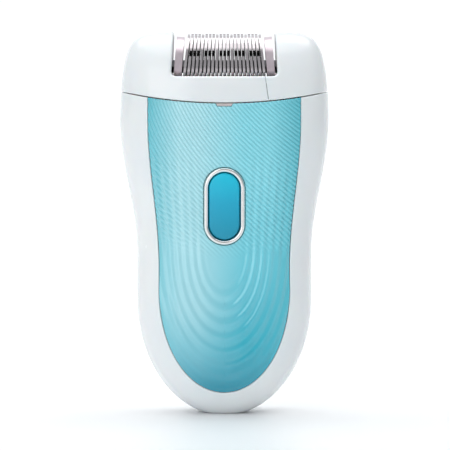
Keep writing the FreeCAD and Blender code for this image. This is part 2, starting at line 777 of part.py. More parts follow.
def disc(name, place, notched, bossed):
    """One tweezer disc and the boss that spaces it; place counts from the middle of the row."""
    body = tiltedBody(name, place * mm("disc_pitch"), place * mm("disc_tilt"))
    bind(body, Placement__Base__x=f"{place} * disc_pitch")
    outline = bodySketch(body, "YZ_Plane", name + "_outline")
    addCircle(outline, "disc_radius")
    hexagon(outline, mm("axle_flats"), 2 * mm("disc_bore_gap"))
    pad(body, outline, "disc_thickness", middle=True)
    if notched:
        notch = bodySketch(body, "YZ_Plane", name + "_notch")
        half, root = mm("notch_width") / 2, mm("disc_radius") - mm("notch_depth")
        far = mm("disc_radius") + 1
        turn = math.radians(36)
        across = vec(-math.sin(turn), math.cos(turn), 0) * half
        inside, outside = [vec(math.cos(turn), math.sin(turn), 0) * reach for reach in (root, far)]
        corners = [inside - across, outside - across, outside + across, inside + across]
        addLoop(notch, [(corner.x, corner.y) for corner in corners])
        aroundX(body, pocketThrough(body, notch), "notch_count")
    if bossed:
        boss = bodySketch(body, "YZ_Plane", name + "_boss")
        bind(boss, AttachmentOffset__Base__z="disc_thickness / 2")
        addCircle(boss, "disc_boss_radius")
        addCircle(boss, "axle_flats / 2 + disc_boss_gap")
        pad(body, boss, "disc_boss_height")
    return body


ROW = 21       # discs in the row
PLAIN_EVERY = 4  # every fourth disc, from the first, is a plain round one
counts = {"plain": 0, "notched": 0}
for index in range(ROW):
    kind = "plain" if index % PLAIN_EVERY == 0 else "notched"
    counts[kind] += 1
    label = f"{kind}_disc_{counts[kind]}"
    keep(disc(label, index - ROW // 2, kind == "notched", index < ROW - 1), label)

# ---------------------------------------------------------------- supply inlet
socketLength = "inlet_width + 2 * inlet_wall"
socketDepth = "inlet_depth + 2 * inlet_wall"
contactSides = ["0 - contact_spacing / 2", "contact_spacing / 2"]
socket = cut(block(socketLength, socketDepth, "inlet_roof + contact_roof - wall - 0.6",
                   "0 - inlet_width / 2 - inlet_wall", "0 - inlet_depth / 2 - inlet_wall",
                   "wall + 0.6"),
             [block("inlet_width", "inlet_depth", "inlet_roof", "0 - inlet_width / 2",
                    "0 - inlet_depth / 2", 0)]
             + [rod("contact_tail_radius", 40, side, 0, 0, "Z") for side in contactSides])
keep(socket, "inlet_socket")
contacts = []
for side in contactSides:
    thick = rod("contact_radius", "inlet_roof - contact_shoulder - contact_recess", side, 0,
                "contact_recess", "Z")
    thin = rod("contact_tail_radius", "contact_shoulder + contact_roof + contact_tail + 0.5", side,
               0, "inlet_roof - contact_shoulder - 0.5", "Z")
    contacts.append(joined([thick, thin]))
keep(group(contacts), "inlet_pins")


def lead(points, bend=2.0):
    """A wire: straight runs joined by arcs that touch them."""
    corners = [vec(*point) for point in points]
    radius = mm("lead_radius")
    edges, last = [], corners[0]
    for before, here, after in zip(corners, corners[1:], corners[2:]):
        inward, onward = (before - here).normalize(), (after - here).normalize()
        half = inward.getAngle(onward) / 2
        cutBack = bend / math.tan(half)
        start, end = here + inward * cutBack, here + onward * cutBack
        bisector = (inward + onward).normalize()
        arcMiddle = here + bisector * (bend / math.sin(half) - bend)
        edges += [Part.LineSegment(last, start).toShape(), Part.Arc(start, arcMiddle, end).toShape()]
        last = end
    edges.append(Part.LineSegment(last, corners[-1]).toShape())
    path = Part.Wire(edges)
    circle = Part.Circle(corners[0], corners[1] - corners[0], radius)
    return path.makePipeShell([Part.Wire([circle.toShape()])], True, True)


contactTop = mm("inlet_roof") + mm("contact_roof") + mm("contact_tail")
boardFace = -mm("board_back") + mm("lead_radius")
leads = []
for side in (-1, 1):
    pin = side * mm("contact_spacing") / 2
    leads.append(lead([(pin, 0, contactTop), (pin, 0, 21), (pin, boardFace, 30),
                       (pin, boardFace, mm("board_bottom") + 4)]))
    terminal = (mm("motor_back_end") - 2.6, mm("motor_depth") + 6 * side, mm("motor_height"))
    drop = mm("motor_height") - mm("motor_radius") - 1.3 * side
    leads.append(lead([terminal, (terminal[0], terminal[1], drop),
                       (terminal[0] + 3.2, boardFace, drop - 1.5),
                       (-mm("board_width") / 2 + 2, boardFace, drop - 1.5)]))
keep(solid(Part.makeCompound(leads)), "supply_leads")

# ---------------------------------------------------------------- head release
capBack = mm("release_seat")
releaseCap = releasePrism.common(form(-mm("release_proud")))
releaseCap = releaseCap.cut(Part.makeBox(FAR, FAR, 2 * FAR, vec(-FAR / 2, capBack - FAR, 0)))
flange = block("release_width + 3", "release_flange", "release_length + 3",
               "0 - release_width / 2 - 1.5", "release_seat - release_flange",
               "release_height - release_length / 2 - 1.5")
arm = block("latch_width", "release_flange", "latch_top - release_height",
            "0 - latch_width / 2", "release_seat - release_flange", "release_height")
keep(joined([solid(releaseCap), flange, arm]), "release_button")

# A bent leaf: its foot lies under the deck and its free end leans on the flange.
leafTop, leafBack = mm("deck_bottom") - 0.05, mm("release_seat") - mm("release_flange") - 0.1
bendFront, thin = leafBack - mm("spring_rise"), mm("spring_thickness")
bendLow, endLow = mm("release_height") + 0.6, mm("release_height") - 2
leaf = doc.addObject("PartDesign::Body", "leaf")
profile = bodySketch(leaf, "YZ_Plane", "leaf_profile")
addLoop(profile, [(bendFront - mm("spring_foot"), leafTop), (bendFront, leafTop),
                  (leafBack, bendLow), (leafBack, endLow), (leafBack - thin, endLow),
                  (leafBack - thin, bendLow - thin / 3), (bendFront - thin / 2, leafTop - thin),
                  (bendFront - mm("spring_foot"), leafTop - thin)])
pad(leaf, profile, "spring_width", middle=True)
keep(leaf, "release_spring")

# ---------------------------------------------------------------- check and write
doc.recompute()
for thing in doc.Objects:
    if {"Invalid", "Error"} & set(thing.State):
        raise RuntimeError(f"{thing.Name} ({thing.Label}) did not recompute: {thing.State}")
for part in parts:
    if part.Shape.isNull() or not part.Shape.isValid() or not part.Shape.Solids:
        raise RuntimeError(f"{part.Label} has no sound shape")
for part in parts:
    part.Shape.exportStep(os.path.join("parts", part.Label + ".step"))
print(f"{len(parts)} parts written")
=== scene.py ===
import json
import math

import bmesh
import bpy
import numpy as np
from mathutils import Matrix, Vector

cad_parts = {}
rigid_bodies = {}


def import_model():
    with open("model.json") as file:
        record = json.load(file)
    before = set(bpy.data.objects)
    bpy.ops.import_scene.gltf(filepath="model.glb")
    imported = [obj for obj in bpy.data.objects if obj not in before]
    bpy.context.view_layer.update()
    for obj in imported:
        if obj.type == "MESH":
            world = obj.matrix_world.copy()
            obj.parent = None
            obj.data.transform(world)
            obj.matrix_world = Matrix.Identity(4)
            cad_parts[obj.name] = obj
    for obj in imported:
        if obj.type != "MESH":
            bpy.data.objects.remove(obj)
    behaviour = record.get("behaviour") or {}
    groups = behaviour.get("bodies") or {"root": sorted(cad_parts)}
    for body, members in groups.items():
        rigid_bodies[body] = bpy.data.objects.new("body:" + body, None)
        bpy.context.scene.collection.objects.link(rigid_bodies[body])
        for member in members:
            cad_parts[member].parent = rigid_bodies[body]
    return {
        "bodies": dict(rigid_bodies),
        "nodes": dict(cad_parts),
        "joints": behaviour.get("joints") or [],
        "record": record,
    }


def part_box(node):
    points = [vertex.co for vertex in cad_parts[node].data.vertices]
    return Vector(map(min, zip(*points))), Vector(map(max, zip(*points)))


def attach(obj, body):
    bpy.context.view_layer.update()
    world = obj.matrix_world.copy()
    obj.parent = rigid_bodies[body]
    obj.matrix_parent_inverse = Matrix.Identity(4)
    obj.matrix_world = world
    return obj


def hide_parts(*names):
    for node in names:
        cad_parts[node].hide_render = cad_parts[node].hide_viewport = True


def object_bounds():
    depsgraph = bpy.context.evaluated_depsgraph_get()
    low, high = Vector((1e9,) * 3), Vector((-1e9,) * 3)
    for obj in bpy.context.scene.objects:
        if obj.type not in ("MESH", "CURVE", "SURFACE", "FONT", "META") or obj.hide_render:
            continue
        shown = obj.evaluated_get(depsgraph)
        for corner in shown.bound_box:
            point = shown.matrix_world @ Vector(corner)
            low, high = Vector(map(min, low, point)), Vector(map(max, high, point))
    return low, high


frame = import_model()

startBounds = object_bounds()
mm = 0.001


def linear(hexColour, alpha=1.0):  # sRGB hex to the linear values the shader wants
    parts = [int(hexColour[i:i + 2], 16) / 255 for i in (1, 3, 5)]
    return [c / 12.92 if c <= 0.04045 else ((c + 0.055) / 1.055) ** 2.4 for c in parts] + [alpha]


def addNode(tree, kind, settings=None, inputs=None, links=None):
    # one node with its settings, its plain inputs and what feeds it
    node = tree.nodes.new(kind)
    for name, value in (settings or {}).items():
        setattr(node, name, value)
    for name, value in (inputs or {}).items():
        node.inputs[name].default_value = value
    for name, (source, output) in (links or {}).items():
        tree.links.new(source.outputs[output], node.inputs[name])
    return node


def newMaterial(name, shader=None):
    # a material with one Principled shader, its uniform values set on its sockets
    material = bpy.data.materials.new(name)
    material.use_nodes = True
    tree = material.node_tree
    tree.nodes.clear()
    principled = addNode(tree, "ShaderNodeBsdfPrincipled", inputs=shader)
    addNode(tree, "ShaderNodeOutputMaterial", links={"Surface": (principled, "BSDF")})
    return material, tree, principled


def ramp(tree, source, output, stops):
    node = addNode(tree, "ShaderNodeValToRGB", links={"Fac": (source, output)})
    band = node.color_ramp
    while len(band.elements) < len(stops):
        band.elements.new(0.5)
    for element, (place, colour) in zip(band.elements, stops):
        element.position = place
        element.color = linear(colour)
    return node


def bump(tree, principled, height, output, distance, strength=1.0):
    # a fine relief: distance is its real height in metres
    node = addNode(tree, "ShaderNodeBump", inputs={"Distance": distance, "Strength": strength},
                   links={"Height": (height, output)})
    tree.links.new(node.outputs["Normal"], principled.inputs["Normal"])


def unevenGloss(tree, principled, coords, perMetre, low, high):
    # roughness that drifts a little, as handling and moulding leave it
    noise = addNode(tree, "ShaderNodeTexNoise", inputs={"Scale": perMetre, "Detail": 4.0},
                    links={"Vector": (coords, "Object")})
    spread = addNode(tree, "ShaderNodeMapRange", inputs={"To Min": low, "To Max": high},
                     links={"Value": (noise, "Fac")})
    tree.links.new(spread.outputs["Result"], principled.inputs["Roughness"])
    return noise


# the body's outer form, in millimetres
bodyForm = {
    "height": startBounds[1][2] / mm, "halfWidth": 32.8, "waistHalfWidth": 27.4,
    "widestAt": 93.0, "gripAt": 50.0, "tailAt": 36.0, "footSink": 1.0,
    "gripFront": 15.2, "gripBack": 18.4, "wideFront": 17.2, "wideBack": 19.0,
    "shoulderTaper": 3.4, "squareFront": 2.5, "squareBack": 2.2,
    "seamAt": 97.8, "seamRadius": 157.0, "seamGap": 0.3, "partingAt": 1.0,
    "seamRoll": 0.35, "lineGap": 0.12, "partingGap": 0.04,
}


def softStep(z, start, end, low, high):  # a cosine step from low to high
    share = np.clip((z - start) / (end - start), 0, 1)
    return low + (high - low) * (1 - np.cos(np.pi * share)) / 2


def tailOff(z, power):
    drop = np.clip((bodyForm["tailAt"] - z) / (bodyForm["tailAt"] + bodyForm["footSink"]), 0, 1)
    return (1 - drop ** power) ** (1 / power)


def crownShare(z):
    widest = bodyForm["widestAt"]
    return np.clip((z - widest) / (bodyForm["height"] + 0.1 - widest), 0, 1)


def halfWidth(z):
    rise = crownShare(z)
    swelling = softStep(z, bodyForm["gripAt"], bodyForm["widestAt"],
                        bodyForm["waistHalfWidth"], bodyForm["halfWidth"])
    return (swelling * tailOff(z, 2.0) - bodyForm["shoulderTaper"] * rise ** 2) * (1 - rise ** 8) ** 0.125


def reach(z, side):  # how far the form comes forward or back
    swelling = softStep(z, bodyForm["gripAt"], bodyForm["widestAt"],
                        bodyForm["grip" + side], bodyForm["wide" + side])
    return swelling * tailOff(z, 2.6) * (1 - crownShare(z) ** 2) ** (1 / 2.2)


def outlineAt(turn, z):
    c, s = np.cos(turn), np.sin(turn)
    power = np.where(s < 0, bodyForm["squareFront"], bodyForm["squareBack"])
    depth = np.where(s < 0, reach(z, "Front"), reach(z, "Back"))
    return (halfWidth(z) * np.sign(c) * np.abs(c) ** (2 / power),
            depth * np.sign(s) * np.abs(s) ** (2 / power))


def frontDepth(x, z):  # y of the front surface at a place seen from the front
    share = np.clip(np.abs(x) / np.maximum(halfWidth(z), 0.01), 0, 1)
    return -reach(z, "Front") * (1 - share ** bodyForm["squareFront"]) ** (1 / bodyForm["squareFront"])


def evenSteps(dense, lengths, step):  # values spaced evenly along a curve of that length
    total = lengths[-1]
    return np.interp(np.linspace(0, total, max(4, int(total / step)) + 1), lengths, dense)


def bodyGrid(step, low, high):
    # the whole outside between two heights as a grid of quads, capped at the foot and the crown
    dense = np.linspace(0, 2 * np.pi, 6001)
    x, y = outlineAt(dense, np.full_like(dense, 60.0))
    turns = evenSteps(dense, np.r_[0, np.cumsum(np.hypot(np.diff(x), np.diff(y)))], step)[:-1]
    dense = np.linspace(low, high, 8001)
    profile = np.stack([dense, halfWidth(dense), reach(dense, "Front")])
    lengths = np.r_[0, np.cumsum(np.sqrt((np.diff(profile) ** 2).sum(axis=0)))]
    heights = evenSteps(dense, lengths, step)
    rows = []
    for z in heights:
        x, y = outlineAt(turns, np.full_like(turns, z))
        rows.append(np.stack([x, y, np.full_like(turns, z)], axis=1))
    inward = [0.8, 0.6, 0.4, 0.2, 0.02]
    if low <= 0:
        rows = [rows[0] * [k, k, 1] for k in reversed(inward)] + rows
    if high >= bodyForm["height"]:
        rows += [rows[-1] * [k, k, 1] for k in inward]
    around = len(turns)
    faces = []
    for row in range(len(rows) - 1):
        for k in range(around):
            nextOne = (k + 1) % around
            faces.append([row * around + k, row * around + nextOne,
                          (row + 1) * around + nextOne, (row + 1) * around + k])
    return np.concatenate(rows), faces


# signed distances, in millimetres: positive on the side that is kept

def belowSeam(p):
    lift = bodyForm["seamAt"] + bodyForm["seamRadius"]
    return np.hypot(p[:, 0], p[:, 2] - lift) - bodyForm["seamRadius"] - bodyForm["seamGap"] / 2


def aboveSeam(p):
    return -belowSeam(p) - bodyForm["seamGap"]


def ovalDistance(p, width, length, height):
    radius = width / 2
    along = np.maximum(np.abs(p[:, 2] - height) - (length - width) / 2, 0)
    return np.hypot(p[:, 0], along) - radius


def boxDistance(u, v, halfU, halfV, corner):
    qu, qv = np.abs(u) - halfU + corner, np.abs(v) - halfV + corner
    return np.minimum(np.maximum(qu, qv), 0) + np.hypot(np.maximum(qu, 0), np.maximum(qv, 0)) - corner


def splitAlong(points, faces, values):
    # cuts each face where the values change sign, so an edge runs exactly along that line
    side = (values > 0).tolist()
    added, known = [], {}

    def crossing(a, b):
        key = (min(a, b), max(a, b))
        if key not in known:
            share = values[key[0]] / (values[key[0]] - values[key[1]])
            known[key] = len(points) + len(added)
            added.append(points[key[0]] + (points[key[1]] - points[key[0]]) * share)
        return known[key]

    result = []
    for face in faces:
        kept = sum(side[v] for v in face)
        if kept == 0 or kept == len(face):
            result.append(face)
            continue
        loops = ([], [])
        for a, b in zip(face, face[1:] + face[:1]):
            loops[int(side[a])].append(a)
            if side[a] != side[b]:
                middle = crossing(a, b)
                loops[0].append(middle)
                loops[1].append(middle)
        result += [loop for loop in loops if len(loop) > 2]
    return (np.vstack([points, np.array(added)]) if added else points), result


def normalsOf(points, faces):
    total = np.zeros_like(points)
    triangles = np.array([(f[0], f[k], f[k + 1]) for f in faces for k in range(1, len(f) - 1)])
    a, b, c = (points[triangles[:, k]] for k in range(3))
    facing = np.cross(b - a, c - a)
    for k in range(3):
        np.add.at(total, triangles[:, k], facing)
    size = np.linalg.norm(total, axis=1, keepdims=True)
    return total / np.maximum(size, 1e-12)


def trimmed(points, faces, edges):
    # edges: (distance, roll) pairs. Keeps what lies inside all of them and rolls each rim inwards
    for distance, roll in edges:
        for share in (1.0, 0.55, 0.25, 0.08, 0.0):
            points, faces = splitAlong(points, faces, distance(points) - roll * share)
        values = distance(points).tolist()
        faces = [face for face in faces if max((values[v] for v in face), key=abs) > 0]
    used = np.unique([v for face in faces for v in face])
    renumber = {old: new for new, old in enumerate(used)}
    return points[used], [[renumber[v] for v in face] for face in faces]


def rolledIn(points, normals, edges):
    sink = np.zeros(len(points))
    for distance, roll in edges:
        near = np.clip(distance(points), 0, roll)
        sink = np.maximum(sink, roll - np.sqrt(np.maximum(roll ** 2 - (roll - near) ** 2, 0)))
    return points - normals * sink[:, None]


def meshPiece(name, points, faces, merge=0.012):
    mesh = bpy.data.meshes.new(name)
    mesh.from_pydata([tuple(p) for p in np.asarray(points) * mm], [], faces)
    piece = bpy.data.objects.new(name, mesh)
    bpy.context.collection.objects.link(piece)
    work = bmesh.new()
    work.from_mesh(mesh)
    bmesh.ops.remove_doubles(work, verts=work.verts, dist=merge * mm)
    bmesh.ops.dissolve_degenerate(work, dist=merge * mm / 2, edges=work.edges)
    for face in work.faces:
        face.smooth = True
    work.to_mesh(mesh)
    work.free()
    return piece


def thickened(piece, wall):
    solid = piece.modifiers.new("wall", "SOLIDIFY")
    solid.thickness = wall * mm
    solid.offset = -1
    return piece


def dress(piece, material, body, slot, *nodes):
    piece.data.materials.clear()
    piece.data.materials.append(material)
    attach(piece, body)
    if nodes:
        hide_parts(*nodes)
    return piece


def skin(name, grid, edges, wall):
    points, faces = trimmed(*grid, edges)
    points = rolledIn(points, normalsOf(points, faces), edges)
    return thickened(meshPiece(name, points, faces), wall)


def whiteAbs():
    # pearl white ABS, injection moulded and polished: bright, cool, a soft broad gloss
    material, tree, shader = newMaterial("polished white ABS", {
        "Base Color": linear("#EEF2F4"), "IOR": 1.53, "Coat Weight": 0.35, "Coat Roughness": 0.08,
        "Subsurface Weight": 0.08, "Subsurface Scale": 0.002})
    coords = addNode(tree, "ShaderNodeTexCoord")
    noise = unevenGloss(tree, shader, coords, 60.0, 0.2, 0.3)  # drifts over 15 to 20 mm
    tint = ramp(tree, noise, "Fac", [(0.3, "#EBF0F3"), (0.7, "#F2F5F6")])
    tree.links.new(tint.outputs["Color"], shader.inputs["Base Color"])
    return material


def rippledAcrylic():
    # tinted acrylic moulded with ripples: wet gloss; colour deeper towards the bottom and the sides, and a
    # paler tint on the left half that is a painted reflection
    material, tree, shader = newMaterial("turquoise moulded acrylic", {
        "IOR": 1.49, "Coat Weight": 1.0, "Coat Roughness": 0.03, "Coat IOR": 1.6})
    coords = addNode(tree, "ShaderNodeTexCoord")
    unevenGloss(tree, shader, coords, 80.0, 0.1, 0.16)
    parts = addNode(tree, "ShaderNodeSeparateXYZ", links={"Vector": (coords, "Object")})
    height = addNode(tree, "ShaderNodeMapRange", inputs={"From Min": 0.007, "From Max": 0.075},
                     links={"Value": (parts, "Z")})
    down = ramp(tree, height, "Result", [(0.0, "#0092AC"), (0.22, "#1CB4CA"), (0.6, "#6AD2E3"),
                                         (1.0, "#86E0EE")])
    sideways = addNode(tree, "ShaderNodeMath", {"operation": "ABSOLUTE"}, links={0: (parts, "X")})
    edge = addNode(tree, "ShaderNodeMapRange", inputs={"From Min": 0.014, "From Max": 0.0235},
                   links={"Value": (sideways, "Value")})
    # painted reflection: the left half, above the lower rim, is mixed towards a pale tint (#C2EDF4) that
    # stands for a soft box reflected in the gloss
    pale = addNode(tree, "ShaderNodeMapRange", inputs={"From Min": 0.006, "From Max": -0.008, "To Max": 0.6},
                   links={"Value": (parts, "X")})
    lift = addNode(tree, "ShaderNodeMapRange", inputs={"From Min": 0.009, "From Max": 0.034},
                   links={"Value": (parts, "Z")})
    share = addNode(tree, "ShaderNodeMath", {"operation": "MULTIPLY"},
                    links={0: (pale, "Result"), 1: (lift, "Result")})
    paintedReflection = addNode(tree, "ShaderNodeMix", {"data_type": "RGBA"}, links={"Factor": (share, "Value")})
    tree.links.new(down.outputs["Color"], paintedReflection.inputs[6])
    paintedReflection.inputs[7].default_value = linear("#C2EDF4")
    blend = addNode(tree, "ShaderNodeMix", {"data_type": "RGBA"}, links={"Factor": (edge, "Result")})
    tree.links.new(paintedReflection.outputs[2], blend.inputs[6])
    blend.inputs[7].default_value = linear("#52C2D2")
    tree.links.new(blend.outputs[2], shader.inputs["Base Color"])
    return material


def platedRing():
    # bright chrome plate over ABS: mirrors the room with a hint of haze
    material, tree, shader = newMaterial("polished chrome plate", {
        "Base Color": linear("#ECEBEA"), "Metallic": 1.0})
    coords = addNode(tree, "ShaderNodeTexCoord")
    unevenGloss(tree, shader, coords, 250.0, 0.05, 0.12)
    return material


def blueAbs():
    # dyed ABS with a satin mould finish; its colour is painted lighter towards the top and deeper towards
    # the bottom, painted light and shade from above
    material, tree, shader = newMaterial("satin blue ABS", {"IOR": 1.53})
    coords = addNode(tree, "ShaderNodeTexCoord")
    noise = unevenGloss(tree, shader, coords, 120.0, 0.34, 0.44)
    parts = addNode(tree, "ShaderNodeSeparateXYZ", links={"Vector": (coords, "Object")})
    low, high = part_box("power_button")
    height = addNode(tree, "ShaderNodeMapRange",
                     inputs={"From Min": low[2], "From Max": high[2]}, links={"Value": (parts, "Z")})
    # painted light and shade: the ramp runs from a deep blue at the bottom of the cap to a light cyan at its
    # top
    colour = ramp(tree, height, "Result", [(0.0, "#0094B4"), (0.55, "#00ACD0"), (1.0, "#00CAE8")])
    tree.links.new(colour.outputs["Color"], shader.inputs["Base Color"])
    grain = addNode(tree, "ShaderNodeTexNoise", inputs={"Scale": 5000.0, "Detail": 2.0},
                    links={"Vector": (coords, "Object")})  # spark-eroded grain, 0.2 mm
    bump(tree, shader, grain, "Fac", 0.000006)
    return material


def clearAcrylic():
    # clear acrylic window, polished: a pale pinkish glint over the lamp
    material, tree, shader = newMaterial("clear acrylic", {
        "Base Color": linear("#F3E9EA"), "IOR": 1.49, "Transmission Weight": 0.35})
    coords = addNode(tree, "ShaderNodeTexCoord")
    unevenGloss(tree, shader, coords, 300.0, 0.06, 0.14)
    return material


def moulded(name, dark, light, low=0.45, high=0.6, ior=1.5):
    # moulded or turned plastic and rubber: two close tones and a fine spark-eroded grain
    material, tree, shader = newMaterial(name, {"IOR": ior})
    coords = addNode(tree, "ShaderNodeTexCoord")
    noise = unevenGloss(tree, shader, coords, 150.0, low, high)
    tint = ramp(tree, noise, "Fac", [(0.3, dark), (0.7, light)])
    tree.links.new(tint.outputs["Color"], shader.inputs["Base Color"])
    grain = addNode(tree, "ShaderNodeTexNoise", inputs={"Scale": 3000.0},
                    links={"Vector": (coords, "Object")})
    bump(tree, shader, grain, "Fac", 0.00001)
    return material


def metal(name, dark, light, low, high, across=(1.0, 1.0, 1.0), scratch=0.000004):
    # machined or polished metal: stretched noise stands for the fine tool lines
    material, tree, shader = newMaterial(name, {"Metallic": 1.0})
    coords = addNode(tree, "ShaderNodeTexCoord")
    noise = unevenGloss(tree, shader, coords, 200.0, low, high)
    tint = ramp(tree, noise, "Fac", [(0.3, dark), (0.7, light)])
    tree.links.new(tint.outputs["Color"], shader.inputs["Base Color"])
    stretch = addNode(tree, "ShaderNodeMapping", inputs={"Scale": across},
                      links={"Vector": (coords, "Object")})
    lines = addNode(tree, "ShaderNodeTexNoise", inputs={"Scale": 4000.0},
                    links={"Vector": (stretch, "Vector")})
    bump(tree, shader, lines, "Fac", scratch)
    return material


def tweezerSteel():
    # stamped stainless steel, tumbled bright; within 8.6 mm of the axle it is painted near black and not
    # metallic, painted shade for the gaps between the discs
    material, tree, shader = newMaterial("tumbled steel with painted shade near the axle")
    coords = addNode(tree, "ShaderNodeTexCoord")
    noise = unevenGloss(tree, shader, coords, 200.0, 0.14, 0.26)
    tint = ramp(tree, noise, "Fac", [(0.3, "#BDB6B9"), (0.7, "#D6CFD2")])
    middle = sum((Vector(corner) for corner in frame["nodes"]["notched_disc_8"].bound_box), Vector()) / 8
    fromAxle = addNode(tree, "ShaderNodeMapping", links={"Vector": (coords, "Object")},
                       inputs={"Location": (0, -middle.y, -middle.z), "Scale": (0, 1, 1)})
    radius = addNode(tree, "ShaderNodeVectorMath", {"operation": "LENGTH"},
                     links={0: (fromAxle, "Vector")})
    # painted shade: within 8.6 mm of the axle the steel turns near black (#141417) and loses its metal, so
    # the gaps between the discs look dark
    rim = addNode(tree, "ShaderNodeMapRange", inputs={"From Min": 0.0086, "From Max": 0.0088},
                  links={"Value": (radius, "Value")})
    blend = addNode(tree, "ShaderNodeMix", {"data_type": "RGBA"}, links={"Factor": (rim, "Result")})
    blend.inputs[6].default_value = linear("#141417")
    tree.links.new(tint.outputs["Color"], blend.inputs[7])
    tree.links.new(blend.outputs[2], shader.inputs["Base Color"])
    tree.links.new(rim.outputs["Result"], shader.inputs["Metallic"])
    return material


materials = {
    "white": whiteAbs(),
    "panel": rippledAcrylic(),
    "chrome": platedRing(),
    "blue": blueAbs(),
    "window": clearAcrylic(),
    "grey": moulded("satin grey ABS", "#C4CBCF", "#CFD5D8", 0.3, 0.4, 1.53),
    "dark": moulded("black moulded nylon", "#101113", "#191A1D"),
    "acetal": moulded("natural acetal", "#DEDCD3", "#E8E6DF", 0.35, 0.5),
    "rubber": moulded("black silicone rubber", "#151517", "#202023", 0.6, 0.8),
    "board": moulded("green lacquered laminate", "#0B4A2A", "#115C36", 0.25, 0.4),
    "lamp": moulded("milky epoxy", "#F6F1E4", "#FFFBEF", 0.2, 0.3),
    "disc": tweezerSteel(),
    "cheek": metal("tumbled stainless steel", "#CBBDC4", "#DCD0D6", 0.28, 0.4),
    "steel": metal("ground steel", "#8E8F92", "#A6A7AA", 0.25, 0.4, (1, 6, 6)),
    "brass": metal("turned brass", "#B08A3C", "#C9A454", 0.2, 0.32, (6, 1, 1)),
}
print("materials made:", len(materials))

# the panel, in millimetres
panelForm = {
    "bottom": 7.25, "centre": 39.0, "halfWidth": 20.4, "topHalfWidth": 23.8, "blendFrom": 46.0,
    "fineDepth": 0.14, "finePitch": 1.12, "waveDepth": 0.16, "wavePitch": 0.135,
    "waveWidth": 17.5, "waveHeight": 33.5, "waveCentre": 52.0, "step": 0.2,
    "gridLeft": -26.03, "gridRight": 26.0, "gridTop": 109.0, "wall": 1.0,
    "rimRoll": 0.25, "ringRoll": 0.2, "lensRoll": 0.1,
}
switchForm = {"height": 65.7, "ringWidth": 13.1, "ringLength": 24.4, "rim": 1.6,
              "ringProud": 0.75, "buttonProud": 0.55, "gap": 0.2, "back": 12.4,
              "buttonBack": 14.05, "buttonEdge": 0.55, "buttonShoulder": 0.35, "step": 0.3}
lensForm = {"halfWidth": 2.6, "drop": 0.8, "slant": 0.48}


def panelHalf(z):
    form = panelForm
    share = np.clip((form["centre"] - z) / (form["centre"] - form["bottom"]), 0, 1)
    low = form["halfWidth"] * np.sqrt(1 - share ** 2)
    return np.where(z < form["centre"], low,
                    softStep(z, form["blendFrom"], bodyForm["widestAt"], form["halfWidth"],
                             form["topHalfWidth"]))


denseTurn = np.linspace(0, np.pi / 2, 90)
denseHeight = panelForm["centre"] - (panelForm["centre"] - panelForm["bottom"]) * np.cos(denseTurn)
denseHeight = np.r_[denseHeight, np.linspace(panelForm["centre"], 119, 160)[1:]]
outlinePoints = np.stack([panelHalf(denseHeight), denseHeight], axis=1)


def insidePanel(p):
    # distance to the outline's right half, folded over the middle, positive inside
    flat = np.stack([np.abs(p[:, 0]), p[:, 2]], axis=1)
    best = np.full(len(p), 1e9)
    for start, end in zip(outlinePoints[:-1], outlinePoints[1:]):
        run = end - start
        share = np.clip(((flat - start) @ run) / (run @ run), 0, 1)
        best = np.minimum(best, np.hypot(*(flat - start - share[:, None] * run).T))
    inside = (flat[:, 0] < panelHalf(p[:, 2])) & (p[:, 2] > panelForm["bottom"])
    return np.where(inside & (p[:, 1] < 0), best, -best)


def outsideLens(p):
    # how far beyond the little trapezoid window that ends at the seam
    low = bodyForm["seamAt"] - bodyForm["seamGap"] / 2 - lensForm["drop"]
    rise = np.clip((p[:, 2] - low) / lensForm["drop"], 0, 1)
    half = lensForm["halfWidth"] - lensForm["slant"] * (1 - rise)
    return np.maximum(np.abs(p[:, 0]) - half, low - p[:, 2])


def ripple(x, z):
    # slanting fine ripples on the upper half, broad U-shaped ones that run round the lower half
    h = z - 80
    phase = (0.72 * x + 0.69 * h - 0.0032 * x ** 2 + 0.0053 * x * h - 0.0011 * h ** 2
             - 0.0001 * x ** 2 * h + 0.00019 * x * h ** 2)
    fine = np.cos(2 * np.pi * phase / panelForm["finePitch"])
    widening = np.maximum(panelHalf(z), 1) / panelForm["halfWidth"]
    across = x / panelForm["waveWidth"] / np.where(z > panelForm["centre"], widening, 1)
    down = np.minimum(z - panelForm["waveCentre"], 0) / panelForm["waveHeight"]
    reachOut = np.hypot(across, down)
    wave = np.cos(2 * np.pi * (reachOut - 0.96) / panelForm["wavePitch"])
    waveFade = softStep(z, 72, 88, 1, 0) * softStep(reachOut, 0.25, 0.5, 0, 1) * np.where(x < 0, 0.7, 1)
    return (panelForm["fineDepth"] * fine * softStep(z, 48, 62, 0, 1)
            + panelForm["waveDepth"] * wave * waveFade)


def makePanel():
    form = panelForm
    step, low = form["step"], form["bottom"] - 0.5
    xs = np.arange(form["gridLeft"], form["gridRight"] + step, step)  # no column falls on the outline
    zs = np.arange(low, form["gridTop"], step)
    gridX, gridZ = np.meshgrid(xs, zs)
    points = np.stack([gridX.ravel(), frontDepth(gridX, gridZ).ravel(), gridZ.ravel()], axis=1)
    wide = len(xs)
    rows = np.arange((len(zs) - 1) * wide).reshape(-1, wide)[:, :-1].ravel()
    reachable = np.abs(points[rows, 0]) < panelHalf(points[rows, 2]) + 2 * step
    faces = [[k, k + 1, k + 1 + wide, k + wide] for k in rows[reachable].tolist()]
    edges = [
        (insidePanel, form["rimRoll"]),
        (belowSeam, form["rimRoll"]),
        (lambda p: ovalDistance(p, switchForm["ringWidth"], switchForm["ringLength"],
                                switchForm["height"]), form["ringRoll"]),
        (lambda p: outsideLens(p) - bodyForm["lineGap"], form["lensRoll"]),
    ]
    points, faces = trimmed(points, faces, edges)
    normals = normalsOf(points, faces)
    points = rolledIn(points, normals, edges)
    points += normals * ripple(points[:, 0], points[:, 2])[:, None]
    piece = thickened(meshPiece("front_panel_moulding", points, faces), form["wall"])
    return dress(piece, materials["panel"], "handle", "panel_turquoise", "front_panel")


